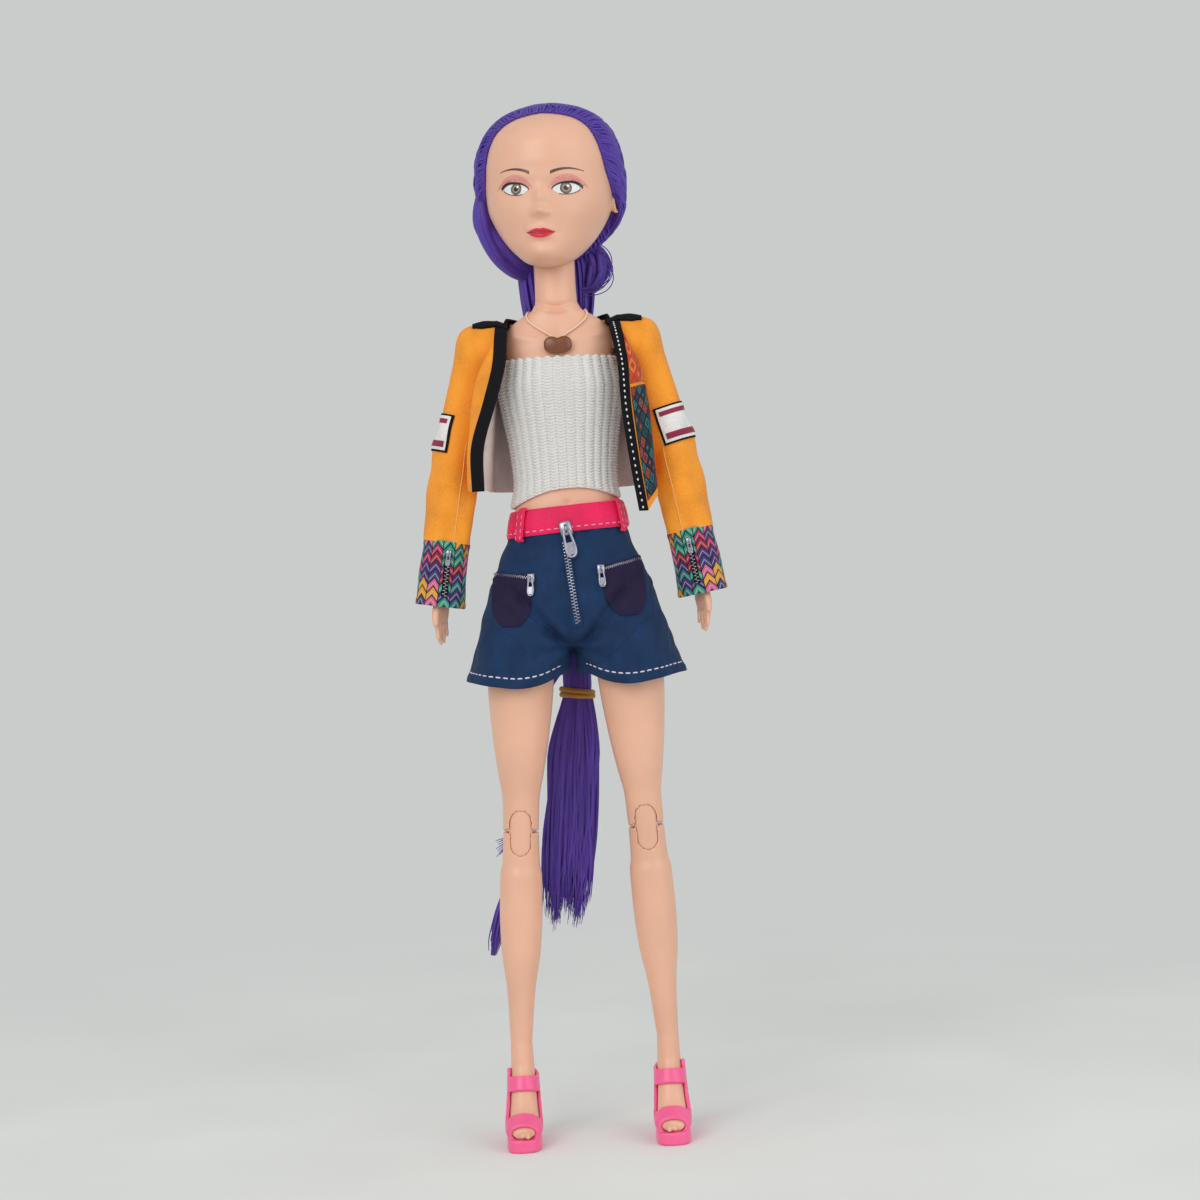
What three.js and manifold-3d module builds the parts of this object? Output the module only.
// A jointed fashion doll, 30 cm tall, in a tube top, cropped jacket, denim shorts and platform shoes.
// Millimetres, +Z up, soles on z = 0. The doll faces -Y, so its own left side is at +X.
import * as THREE from 'three';
import { mergeVertices } from 'three/addons/utils/BufferGeometryUtils.js';
import Module from 'manifold-3d';

const wasm = await Module();
wasm.setup();

// Fits shared by all pieces
const gap = 0.3;
const runningGap = 0.4;
const cutOver = 6;
const pinRadius = 0.9;
const pinHole = pinRadius + gap;
const clothThickness = 0.9;

// Facets round each kind of shape
const pinSides = 6;
const rodSides = 10;
const ballSides = 12;
const torsoSides = 24;
const legSides = 14;
const footSides = 10;
const armSides = 12;
const fingerSides = 6;
const headSides = 22;
const earSides = 8;
const hemSides = 20;
const sleeveSides = 14;
const hairSides = 12;
const lockSides = 6;
const cordSides = 6;
const cordSteps = 28;

// Legs, from the hip pivot to the sole
const legSplay = THREE.MathUtils.degToRad(2.87);
const hipHalfSpan = 15;
const thighLength = 59.9;
const kneeSpan = 6.4;
const shinLength = 57.9;
const ankleHeight = 28;
const hipBallRadius = 10.2;
const thighHalfWidth = 9.9;
const thighHalfDepth = 10;
const kneeHalfWidth = 5.15;
const kneeHalfDepth = 5.4;
const calfHalfWidth = 6.2;
const calfHalfDepth = 6.4;
const ankleHalfWidth = 3.1;
const ankleHalfDepth = 3.4;
const hipStubRadius = 2.5;
const hipStubLength = 14.2;
const hipTongueRadius = 5;
const hipTongueHalf = 1.5;
const hipBackSwing = THREE.MathUtils.degToRad(14);
const legDrop = (thighLength + kneeSpan + shinLength) * Math.cos(legSplay);
const hipHeight = legDrop + ankleHeight;

// Knee link between two pivots
const linkRadius = 6.1;
const linkHalfWidth = 3.9;
const kneeCheekRadius = 2.9;
const kneeFrontChamfer = THREE.MathUtils.degToRad(12);
const kneeBackChamfer = THREE.MathUtils.degToRad(50);

// Foot and shoe
const footReach = 17;
const footHalfWidth = 4.3;
const footHalfThickness = 5;
const platformThickness = 2.9;
const platformHalfWidth = 5;
const shoeWall = 0.9;
const heelTopRadius = 3.2;
const heelTipRadius = 1.7;
const heelBack = 4.6;
const heelHeightShare = 0.52;

// Torso
const torsoWall = 1.5;
const chestHalfWidth = 16.8;
const chestHalfDepth = 11.3;
const shoulderRise = 77.5;
const shoulderHalfSpan = 22;
const shoulderFlat = 15.8;
const neckRadius = 6;
const neckPivotRise = 102;
const bustBulge = 2.6;
const bustHalfSpan = 7.4;
const bustSpread = 6;
const torsoSquareness = 0.9;

// Arms
const upperArmSplay = THREE.MathUtils.degToRad(15.5);
const forearmSplay = THREE.MathUtils.degToRad(9.5);
const shoulderBallRadius = 4.6;
const shoulderStubRadius = 2.3;
const shoulderStubLength = 9.6;
const shoulderFlangeRadius = 3.8;
const shoulderFlangeThickness = 1.3;
const shoulderTongueRadius = 3.2;
const shoulderTongueHalf = 1.2;
const upperArmLength = 33.5;
const upperArmRadius = 4.1;
const elbowRadius = 3.5;
const elbowBodyGap = 4.9;
const elbowTongueHalf = 1.3;
const forearmLength = 38;
const forearmRadius = 3.7;
const wristRadius = 2.7;
const wristPegRadius = 1.2;
const wristPegLength = 4.8;
const wristFlangeRadius = 1.7;
const wristFlangeThickness = 1.1;
const handLength = 15.5;
const palmHalfWidth = 3.6;
const palmHalfThickness = 1.9;
const fingerRadius = 0.75;
const handTurn = THREE.MathUtils.degToRad(25);

// Head
const headHeight = 45.5;
const headHalfWidth = 18.6;
const faceDepth = 19.5;
const skullDepth = 20.5;
const chinDrop = 3.2;
const headTurn = THREE.MathUtils.degToRad(-8);
const headCentreShift = 1.5;
const headWall = 2.4;
const neckSkirtFlare = 1.6;
const faceCrowding = 0.35;
const earThickness = 1.4;
const earHalfWidth = 2.4;
const earHalfHeight = 3.6;
const earRiseShare = 0.33;
const earSinkShare = 0.97;
const neckTongueRadius = 3;
const anchorTongueHalf = 1.4;
const anchorStemRadius = 2.2;
const anchorRise = 10;
const anchorDiscRadius = 5;
const anchorDiscThickness = 2.4;
const hairThickness = 3.6;

// Hair down the back
const hairBack = 19.5;
const hairBundleHalfWidth = 12.5;
const hairBundleHalfDepth = 5;
const hairTailHalfWidth = 4.6;
const hairTailHalfDepth = 3.6;
const hairTieRise = -24.5;
const hairTieWidth = 3.4;
const hairTieThickness = 1.1;
const tuftLength = 62;
const tuftHalfWidth = 8.4;
const sideLockRadius = 1.5;

// Clothes
const topFit = 0.4;
const topArch = 4;
const waistbandThickness = 1.3;
const bandFit = 0.4;
const shortsLowest = -19.5;
const shortsHemHalfWidth = 15.4;
const shortsHemHalfDepth = 14.4;
const shortsHemCentre = 16.8;
const shortsFold = 0.7;
const shortsFoldCount = 5;
const shortsSquareness = 0.85;
const jacketHemRise = 36;
const jacketLength = 50;
const jacketHalfWidth = 22;
const jacketDepth = 14;
const trimWidth = 3;
const trimThickness = 0.7;
const collarHeight = 2.2;
const collarHalfWidth = 10.6;
const collarHalfDepth = 9.4;
const collarForward = 0.4;
const armholeInset = 4;
const armholeHalfHeight = 7.5;
const armholeDrop = 0.6;
const sleeveHalfWidth = 5.9;
const sleeveHalfDepth = 5.7;
const sleeveFold = 0.35;
const sleeveFoldCount = 6;
const cuffLength = 19;
const cuffOverHand = 4;
const cuffStart = forearmLength - cuffLength + cuffOverHand;
const patchHeight = 11;
const patchThickness = 0.5;

// Necklace
const cordRadius = 0.5;
const pendantHalfWidth = 4;
const pendantHalfHeight = 2.5;
const pendantHalfThickness = 1;
const necklaceFrontRise = 79.3;

// Colours and finishes
function finish(color, roughness) {
  return new THREE.MeshStandardMaterial({ color, roughness, metalness: 0 });
}
const skin = finish('#edb494', 0.42);
const hair = finish('#4b3296', 0.6);
const innerPlastic = finish('#d9c7b8', 0.5);
const steel = new THREE.MeshStandardMaterial({ color: '#b9bcc0', roughness: 0.35, metalness: 0.9 });
const whiteKnit = finish('#f1f1f3', 0.9);
const orangeCloth = finish('#f0a024', 0.85);
const blackTrim = finish('#17171b', 0.7);
const printedCloth = finish('#c0458a', 0.8);
const stripedCloth = finish('#e8e2df', 0.8);
const denim = finish('#1b3a66', 0.9);
const pinkCloth = finish('#f0145a', 0.8);
const shoePink = finish('#ff5f96', 0.35);
const bandRubber = finish('#c98a2c', 0.55);
const pendantBrown = finish('#7a4a2a', 0.25);
const cordPeach = finish('#e89c86', 0.6);

// Shape helpers

function point(x, y, z) {
  return new THREE.Vector3(x, y, z);
}

function mix(from, to, share) {
  return from + (to - from) * share;
}

// A geometry with its faces turned outwards, from shared points and triangles.
function closedGeometry(points, triangles) {
  let volume = 0;
  for (const [a, b, c] of triangles) {
    volume += points[a].dot(points[b].clone().cross(points[c]));
  }
  const turned = volume < 0 ? triangles.map(([a, b, c]) => [a, c, b]) : triangles;
  const geometry = new THREE.BufferGeometry();
  const places = points.flatMap((p) => [p.x, p.y, p.z]);
  geometry.setAttribute('position', new THREE.Float32BufferAttribute(places, 3));
  geometry.setIndex(turned.flat());
  return geometry;
}

// The quads between ring and ring, two triangles each.
function bandTriangles(firstRing, secondRing, sides) {
  const triangles = [];
  for (let i = 0; i < sides; i += 1) {
    const next = (i + 1) % sides;
    const a = firstRing * sides + i;
    const b = firstRing * sides + next;
    const c = secondRing * sides + next;
    const d = secondRing * sides + i;
    triangles.push([a, b, c], [a, c, d]);
  }
  return triangles;
}

function middleOf(ring) {
  const middle = new THREE.Vector3();
  ring.forEach((p) => middle.add(p));
  return middle.divideScalar(ring.length);
}

// A solid through a row of rings, closed by a fan at each end.
function loft(rings) {
  const sides = rings[0].length;
  const last = rings.length - 1;
  const points = [...rings.flat(), middleOf(rings[0]), middleOf(rings[last])];
  const triangles = [];
  for (let k = 0; k < last; k += 1) {
    triangles.push(...bandTriangles(k, k + 1, sides));
  }
  for (let i = 0; i < sides; i += 1) {
    const next = (i + 1) % sides;
    triangles.push([next, i, rings.length * sides]);
    triangles.push([last * sides + i, last * sides + next, rings.length * sides + 1]);
  }
  return closedGeometry(points, triangles);
}

// A solid through rings that come round to the first ring again, such as a sleeve's two faces.
function loopLoft(rings) {
  const triangles = [];
  for (let k = 0; k < rings.length; k += 1) {
    triangles.push(...bandTriangles(k, (k + 1) % rings.length, rings[0].length));
  }
  return closedGeometry(rings.flat(), triangles);
}

// A sheet with two faces and four edges. rows holds points of the outer face, inner those of the inner one.
function sheet(outer, inner) {
  const rowCount = outer.length;
  const columnCount = outer[0].length;
  const rings = [];
  for (let r = 0; r < rowCount; r += 1) {
    rings.push([...outer[r], ...inner[r].slice().reverse()]);
  }
  const sides = 2 * columnCount;
  const triangles = [];
  for (let r = 0; r < rowCount - 1; r += 1) {
    triangles.push(...bandTriangles(r, r + 1, sides));
  }
  const last = (rowCount - 1) * sides;
  for (let c = 0; c < columnCount - 1; c += 1) {
    const back = sides - 1 - c;
    triangles.push([c + 1, c, back], [c + 1, back, back - 1]);
    triangles.push([last + c, last + c + 1, last + back], [last + c + 1, last + back - 1, last + back]);
  }
  return closedGeometry(rings.flat(), triangles);
}

function toSolid(geometry) {
  const bare = geometry.clone();
  bare.deleteAttribute('normal');
  bare.deleteAttribute('uv');
  const merged = mergeVertices(bare);
  return new wasm.Manifold(new wasm.Mesh({
    numProp: 3,
    vertProperties: new Float32Array(merged.attributes.position.array),
    triVerts: new Uint32Array(merged.index.array),
  }));
}

function toGeometry(solid) {
  const mesh = solid.getMesh();
  const geometry = new THREE.BufferGeometry();
  geometry.setAttribute('position', new THREE.BufferAttribute(new Float32Array(mesh.vertProperties), 3));
  geometry.setIndex(new THREE.BufferAttribute(new Uint32Array(mesh.triVerts), 1));
  return geometry;
}

function cut(solid, ...tools) {
  return tools.reduce((left, tool) => left.subtract(tool), solid);
}

function join(solid, ...others) {
  return others.reduce((sum, other) => sum.add(other), solid);
}

function rod(radius, start, end, sides = rodSides, endRadius = radius) {
  const along = end.clone().sub(start);
  const geometry = new THREE.CylinderGeometry(endRadius, radius, along.length(), sides);
  geometry.applyQuaternion(new THREE.Quaternion().setFromUnitVectors(point(0, 1, 0), along.normalize()));
  const middle = start.clone().add(end).multiplyScalar(0.5);
  return toSolid(geometry.translate(middle.x, middle.y, middle.z));
}

function block(low, high) {
  const size = high.clone().sub(low);
  const middle = high.clone().add(low).multiplyScalar(0.5);
  return toSolid(new THREE.BoxGeometry(size.x, size.y, size.z).translate(middle.x, middle.y, middle.z));
}

function ball(radius, centre, sides = ballSides) {
  const geometry = new THREE.SphereGeometry(radius, sides, sides / 2);
  geometry.rotateX(Math.PI / 2);
  return toSolid(geometry.translate(centre.x, centre.y, centre.z));
}

// A body of revolution about X, used for both knee pivots.
function spheroid(halfWidth, radius, centre) {
  const geometry = new THREE.SphereGeometry(radius, ballSides, ballSides / 2);
  geometry.rotateZ(Math.PI / 2);
  geometry.scale(halfWidth / radius, 1, 1);
  return toSolid(geometry.translate(centre.x, centre.y, centre.z));
}

// Joint pins: one across a pivot along X, one from front to back.
function crossPin(half) {
  return rod(pinRadius, point(-half, 0, 0), point(half, 0, 0), pinSides);
}

function throughPin(half) {
  return rod(pinRadius, point(0, -half, 0), point(0, half, 0), pinSides);
}

// A flat outline in the YZ plane, drawn out along X on both sides.
function prism(outline, halfWidth) {
  const shape = new THREE.Shape(outline.map(([y, z]) => new THREE.Vector2(y, z)));
  const geometry = new THREE.ExtrudeGeometry(shape, { depth: 2 * halfWidth, bevelEnabled: false });
  geometry.translate(0, 0, -halfWidth);
  geometry.applyMatrix4(new THREE.Matrix4().makeBasis(point(0, 1, 0), point(0, 0, 1), point(1, 0, 0)));
  return toSolid(geometry);
}

// A sine or cosine that makes a ring squarer as the power falls below one.
function squared(value, power) {
  return Math.sign(value) * Math.abs(value) ** power;
}

function ellipseRing(centre, halfX, halfY, sides, squareness = 1) {
  const ring = [];
  for (let i = 0; i < sides; i += 1) {
    const angle = (i / sides) * 2 * Math.PI;
    const x = centre.x + squared(Math.cos(angle), squareness) * halfX;
    const y = centre.y + squared(Math.sin(angle), squareness) * halfY;
    ring.push(point(x, y, centre.z));
  }
  return ring;
}

function addPiece(parent, name, shape, material) {
  const geometry = shape.isBufferGeometry ? shape : toGeometry(shape);
  const piece = new THREE.Mesh(geometry, material);
  piece.name = name;
  parent.add(piece);
  return piece;
}

function addFrame(parent, x, y, z) {
  const frame = new THREE.Group();
  frame.position.set(x, y, z);
  parent.add(frame);
  return frame;
}

// Torso section at a height above the hip pivots, as shares of the chest's half width and depth:
// rise, width, front depth, back depth, bust.
const torsoShares = [
  [-0.11, 0.26, 0.3, 0.3, 0],
  [-0.03, 0.66, 0.7, 0.72, 0],
  [0.08, 1.08, 0.88, 0.92, 0],
  [0.18, 1.14, 0.9, 0.98, 0],
  [0.29, 0.98, 0.84, 0.88, 0],
  [0.392, 0.89, 0.78, 0.76, 0],
  [0.49, 0.8, 0.74, 0.7, 0],
  [0.62, 0.85, 0.8, 0.72, 0.1],
  [0.75, 0.95, 0.9, 0.76, 0.65],
  [0.83, 1, 0.93, 0.78, 1],
  [0.94, 0.93, 0.8, 0.76, 0.4],
  [1.02, 0.96, 0.66, 0.7, 0],
  [1.07, 0.82, 0.56, 0.6, 0],
  [1.105, 0.6, 0.52, 0.54, 0],
  [1.13, 0.42, 0.51, 0.52, 0],
];
const torsoRows = torsoShares.map(([rise, width, front, back, bust]) => ({
  rise: rise * shoulderRise,
  halfWidth: width * chestHalfWidth,
  front: front * chestHalfDepth,
  back: back * chestHalfDepth,
  bust: bust * bustBulge,
}));
function torsoSection(rise) {
  const last = torsoRows.length - 2;
  const found = torsoRows.findIndex((row, i) => i > 0 && rise <= row.rise);
  const start = Math.min(Math.max(found - 1, 0), last);
  const low = torsoRows[start];
  const high = torsoRows[start + 1];
  const share = (rise - low.rise) / (high.rise - low.rise);
  const section = {};
  for (const key of ['halfWidth', 'front', 'back', 'bust']) {
    section[key] = mix(low[key], high[key], share);
  }
  return section;
}

// A point of the torso's surface, pushed out by an offset. Angle 0 is the left side, pi/2 the back.
function torsoPoint(angle, rise, offset = 0) {
  const { halfWidth, front, back, bust } = torsoSection(rise);
  const across = squared(Math.cos(angle), torsoSquareness);
  const along = squared(Math.sin(angle), torsoSquareness);
  const x = across * (halfWidth + offset);
  const depth = along < 0 ? front + offset : back + offset;
  const fromBust = (Math.abs(x) - bustHalfSpan) / bustSpread;
  const bulge = along < 0 ? -along * bust * Math.exp(-fromBust * fromBust) : 0;
  return point(x, along * depth - bulge, rise);
}

function torsoRing(riseAt, offset = 0) {
  const ring = [];
  for (let i = 0; i < torsoSides; i += 1) {
    const angle = (i / torsoSides) * 2 * Math.PI;
    ring.push(torsoPoint(angle, typeof riseAt === 'function' ? riseAt(angle) : riseAt, offset));
  }
  return ring;
}

// Torso shells

// The space that a leg passes through, from a little behind to straight forward, on one side.
function legSweep(side) {
  const reach = 3 * hipBallRadius;
  const clear = hipBallRadius + runningGap;
  const along = [Math.sin(hipBackSwing), -Math.cos(hipBackSwing)];
  const edge = [clear * Math.cos(hipBackSwing), clear * Math.sin(hipBackSwing)];
  const outline = [
    [-reach, clear],
    [0, clear],
    edge,
    [edge[0] + reach * along[0], edge[1] + reach * along[1]],
    [-reach, -reach],
  ];
  const keelHalfWidth = hipHalfSpan - clear;
  const halfWidth = reach / 2;
  const sweep = prism(outline, halfWidth);
  return sweep.translate([side * (keelHalfWidth + halfWidth), 0, 0]);
}

function torsoSolid() {
  const outer = toSolid(loft(torsoRows.map((row) => torsoRing(row.rise))));
  const neckFoot = torsoRows[torsoRows.length - 1].rise;
  const neck = rod(neckRadius, point(0, 0, neckFoot - neckRadius), point(0, 0, neckPivotRise), torsoSides);
  const hollowRows = torsoRows.filter((row) => row.rise > hipBallRadius && row.rise < shoulderRise);
  const hollow = toSolid(loft(hollowRows.map((row) => torsoRing(row.rise, -torsoWall))));
  const shoulderCuts = [-1, 1].map((side) => {
    const near = side * shoulderFlat;
    const far = side * (shoulderFlat + cutOver);
    const armpit = shoulderRise - 2 * shoulderBallRadius;
    const low = point(Math.min(near, far), -chestHalfDepth, armpit);
    return block(low, point(Math.max(near, far), chestHalfDepth, shoulderRise + 2 * shoulderBallRadius));
  });
  const shoulderHoles = [-1, 1].map((side) => rod(
    shoulderStubRadius + runningGap,
    point(side * (shoulderHalfSpan - shoulderStubLength - gap), 0, shoulderRise),
    point(side * (shoulderFlat + cutOver), 0, shoulderRise),
  ));
  const shoulderRooms = [-1, 1].map((side) => rod(
    shoulderFlangeRadius + runningGap,
    point(side * (shoulderHalfSpan - shoulderStubLength - gap), 0, shoulderRise),
    point(side * (shoulderFlat - torsoWall), 0, shoulderRise),
  ));
  const hipHoles = [-1, 1].map((side) => rod(
    hipStubRadius + runningGap,
    point(side * (hipHalfSpan - hipStubLength - gap), 0, 0),
    point(side * hipHalfSpan, 0, 0),
  ));
  const hipSockets = [-1, 1].map((side) => (
    ball(hipBallRadius + runningGap, point(side * hipHalfSpan, 0, 0), legSides)
  ));
  const neckSlot = block(
    point(-anchorTongueHalf - gap, -neckRadius - cutOver, neckPivotRise - neckTongueRadius - runningGap),
    point(anchorTongueHalf + gap, neckRadius + cutOver, neckPivotRise + neckRadius + cutOver),
  );
  const neckSide = point(neckRadius + cutOver, 0, neckPivotRise);
  const neckBore = rod(pinHole, neckSide.clone().setX(-neckSide.x), neckSide, pinSides);
  return cut(
    join(outer, neck, ball(neckRadius, point(0, 0, neckPivotRise))),
    hollow, ...shoulderCuts, ...shoulderHoles, ...shoulderRooms, ...hipSockets, ...hipHoles,
    legSweep(1), legSweep(-1), neckSlot, neckBore,
  );
}

// A stub along -X with a flange inside the wall, and a flat tongue round the pivot at the frame's origin.
function limbJoint(sizes) {
  const { stubRadius, stubLength, flangeRadius, flangeThickness } = sizes;
  const { tongueRadius, tongueHalf, flatLength } = sizes;
  const stub = rod(stubRadius, point(-stubLength, 0, 0), point(-flatLength, 0, 0));
  const plate = block(
    point(-flatLength - tongueHalf, -tongueHalf, -stubRadius * 0.85),
    point(0, tongueHalf, stubRadius * 0.85),
  );
  const tongue = rod(tongueRadius, point(0, -tongueHalf, 0), point(0, tongueHalf, 0), ballSides);
  const bore = rod(pinHole, point(0, -cutOver, 0), point(0, cutOver, 0), pinSides);
  const parts = [plate, tongue];
  if (flangeRadius) {
    parts.push(rod(flangeRadius, point(-stubLength, 0, 0), point(-stubLength + flangeThickness, 0, 0)));
  }
  return cut(join(stub, ...parts), bore);
}

function armRing(radius, drop) {
  return ellipseRing(point(0, 0, -drop), radius, radius, armSides);
}

// Upper arm: a ball end with a slot for the shoulder tongue, and a fork for the elbow.
function upperArm() {
  const body = toSolid(loft([
    armRing(shoulderBallRadius * 0.9, 0),
    armRing(upperArmRadius, upperArmLength / 2),
    armRing(upperArmRadius, upperArmLength - elbowBodyGap),
  ]));
  const pivot = point(0, 0, -upperArmLength);
  const forkTop = -upperArmLength + elbowBodyGap + upperArmRadius;
  const fork = join(
    rod(elbowRadius, pivot.clone().setX(-upperArmRadius), pivot.clone().setX(upperArmRadius), ballSides),
    block(
      point(-upperArmRadius * 0.95, -elbowRadius * 0.75, -upperArmLength),
      point(upperArmRadius * 0.95, elbowRadius * 0.75, forkTop),
    ),
  );
  const slotSide = elbowTongueHalf + gap + elbowRadius * Math.sin(upperArmSplay - forearmSplay);
  const forkSlot = block(
    point(-slotSide, -cutOver, -upperArmLength - cutOver),
    point(slotSide, cutOver, -upperArmLength + elbowRadius + runningGap),
  );
  const armSection = rod(upperArmRadius, point(0, 0, -2 * upperArmLength), point(0, 0, 0));
  const elbowBore = rod(pinHole, pivot.clone().setX(-cutOver), pivot.clone().setX(cutOver), pinSides);
  const slotHalf = shoulderTongueHalf + gap;
  const room = shoulderTongueRadius + runningGap;
  const tongueSlot = join(
    block(
      point(-2 * shoulderBallRadius, -slotHalf, -room * 0.8),
      point(room, slotHalf, 2 * shoulderBallRadius),
    ),
    rod(room, point(0, -slotHalf, 0), point(0, slotHalf, 0), ballSides),
  );
  const pinBore = rod(pinHole, point(0, -cutOver, 0), point(0, cutOver, 0), pinSides);
  const arm = join(body, ball(shoulderBallRadius, point(0, 0, 0)), fork.intersect(armSection));
  return cut(arm, forkSlot, elbowBore, tongueSlot, pinBore);
}
// Forearm: a tongue in the elbow's fork and a socket for the hand's peg.
function forearm() {
  const body = toSolid(loft([
    armRing(forearmRadius, elbowBodyGap),
    armRing(forearmRadius, forearmLength * 0.4),
    armRing(wristRadius, forearmLength - gap),
  ]));
  const tongue = join(
    rod(elbowRadius * 0.95, point(-elbowTongueHalf, 0, 0), point(elbowTongueHalf, 0, 0), ballSides),
    block(
      point(-elbowTongueHalf, -elbowRadius * 0.75, -elbowBodyGap - elbowTongueHalf),
      point(elbowTongueHalf, elbowRadius * 0.75, 0),
    ),
  );
  const elbowBore = rod(pinHole, point(-cutOver, 0, 0), point(cutOver, 0, 0), pinSides);
  const wrist = -forearmLength;
  const socket = join(
    rod(wristPegRadius + gap, point(0, 0, wrist - gap), point(0, 0, wrist + wristPegLength)),
    rod(
      wristFlangeRadius + gap,
      point(0, 0, wrist + wristPegLength - wristFlangeThickness - gap),
      point(0, 0, wrist + wristPegLength + gap),
    ),
  );
  return cut(join(body, tongue), elbowBore, socket);
}

// Hand, with its palm turned to the thigh, in a frame at the wrist.
// Each finger: place across the palm, start and end down the hand, as shares of palm width and hand length.
const fingerShares = [
  [-0.73, 0.5, 0.93],
  [-0.24, 0.5, 1],
  [0.25, 0.5, 0.96],
  [0.73, 0.48, 0.84],
];
function hand() {
  const palmShares = [[0, 1.05, 0.6], [0.2, 1, 0.8], [0.45, 0.9, 1], [0.56, 0.7, 0.97]];
  const palm = toSolid(loft(palmShares.map(([down, thick, wide]) => {
    const centre = point(0, 0, -gap - down * handLength);
    return ellipseRing(centre, thick * palmHalfThickness, wide * palmHalfWidth, rodSides);
  })));
  const fingers = fingerShares.map(([across, from, to]) => rod(
    fingerRadius,
    point(0, across * palmHalfWidth, -from * handLength),
    point(-palmHalfThickness * 0.4, across * palmHalfWidth * 0.9, -to * handLength),
    fingerSides,
    fingerRadius * 0.7,
  ));
  const thumb = rod(
    fingerRadius * 1.15,
    point(0, -palmHalfWidth * 0.6, -handLength * 0.2),
    point(-palmHalfThickness * 0.9, -palmHalfWidth * 1.3, -handLength * 0.6),
    fingerSides,
    fingerRadius * 0.8,
  );
  const peg = join(
    rod(wristPegRadius, point(0, 0, -gap - palmHalfThickness), point(0, 0, wristPegLength)),
    rod(wristFlangeRadius, point(0, 0, wristPegLength - wristFlangeThickness), point(0, 0, wristPegLength)),
  );
  return join(palm, ...fingers, thumb, peg);
}

// A section of the leg near the knee, at a height in a limb's own frame.
function kneeRing(height, wide = 1, deep = 1, inset = 0) {
  return ellipseRing(point(0, 0, height), wide * kneeHalfWidth - inset, deep * kneeHalfDepth - inset, legSides);
}

// Side profile that ends a thigh or shin at the knee: a cheek disc with a chamfer to the front and back.
function kneeProfile(halfDepth) {
  const far = 2 * halfDepth;
  const below = 3 * kneeCheekRadius;
  const lineHeight = (y, chamfer) => Math.abs(y) * Math.tan(chamfer) - kneeCheekRadius / Math.cos(chamfer);
  const outline = [[-far, -below], [-far, lineHeight(far, kneeFrontChamfer)]];
  const start = -Math.PI / 2 - kneeFrontChamfer;
  const end = -Math.PI / 2 + kneeBackChamfer;
  const steps = 6;
  for (let i = 0; i <= steps; i += 1) {
    const angle = mix(start, end, i / steps);
    outline.push([kneeCheekRadius * Math.cos(angle), kneeCheekRadius * Math.sin(angle)]);
  }
  outline.push([far, lineHeight(far, kneeBackChamfer)], [far, -below]);
  return outline;
}

// What a knee pivot takes away from a limb that comes down to it. up is 1 for the thigh, -1 for the shin.
function kneeCut(up) {
  const outline = kneeProfile(calfHalfDepth).map(([y, z]) => [y, up * z]);
  const room = spheroid(linkHalfWidth + gap, linkRadius + gap, point(0, 0, 0));
  const bore = rod(pinHole, point(-cutOver, 0, 0), point(cutOver, 0, 0), pinSides);
  return join(prism(outline, 2 * kneeHalfWidth), room, bore);
}

function thigh() {
  const shares = [
    [0, 0.96, 0.96], [0.16, 1, 1], [0.36, 0.96, 0.98], [0.6, 0.84, 0.88], [0.84, 0.66, 0.7],
  ];
  const rings = shares.map(([down, wide, deep]) => (
    ellipseRing(point(0, 0, -down * thighLength), wide * thighHalfWidth, deep * thighHalfDepth, legSides)
  ));
  rings.push(kneeRing(linkRadius - thighLength, 1.03, 1.03));
  rings.push(kneeRing(-thighLength - kneeSpan / 2));
  const slotHalf = hipTongueHalf + gap;
  const room = hipTongueRadius + runningGap;
  const slot = join(
    block(point(-2 * hipBallRadius, -slotHalf, -room * 0.55), point(0, slotHalf, 2 * hipBallRadius)),
    rod(room, point(0, -slotHalf, 0), point(0, slotHalf, 0), ballSides),
  );
  const pinBore = rod(pinHole, point(0, -2 * hipBallRadius, 0), point(0, 2 * hipBallRadius, 0), pinSides);
  const kneeRoom = kneeCut(1).translate([0, 0, -thighLength]);
  return cut(join(toSolid(loft(rings)), ball(hipBallRadius, point(0, 0, 0))), slot, pinBore, kneeRoom);
}

// Knee link, in a frame at its upper pivot.
function kneeLink() {
  const lower = point(0, 0, -kneeSpan);
  const column = toSolid(loft([
    kneeRing(2 * linkRadius, 1, 1, gap / 2),
    kneeRing(-kneeSpan - 2 * linkRadius, 1, 1, gap / 2),
  ]));
  const body = join(
    spheroid(linkHalfWidth, linkRadius, point(0, 0, 0)),
    spheroid(linkHalfWidth, linkRadius, lower),
  ).intersect(column);
  const bores = [point(0, 0, 0), lower].map((pivot) => (
    rod(pinHole, pivot.clone().setX(-cutOver), pivot.clone().setX(cutOver), pinSides)
  ));
  return cut(body, ...bores);
}

// Stations down the foot: forward, height, tilt in degrees, half width and half thickness, as shares of
// the foot's reach, the ankle's height, one, and the foot's half width and half thickness.
const footShares = [
  [0, 1.05, 0, 0.72, 0.68],
  [-0.04, 0.79, 10, 0.78, 0.92],
  [0.08, 0.57, 35, 0.83, 1],
  [0.3, 0.375, 52, 0.92, 0.8],
  [0.53, 0.243, 66, 1, 0.6],
  [0.76, 0.19, 84, 0.93, 0.42],
  [0.92, 0.175, 90, 0.62, 0.28],
];

function footStation(place) {
  const start = Math.min(Math.floor(place), footShares.length - 2);
  const share = place - start;
  return footShares[start].map((value, i) => mix(value, footShares[start + 1][i], share));
}

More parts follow.
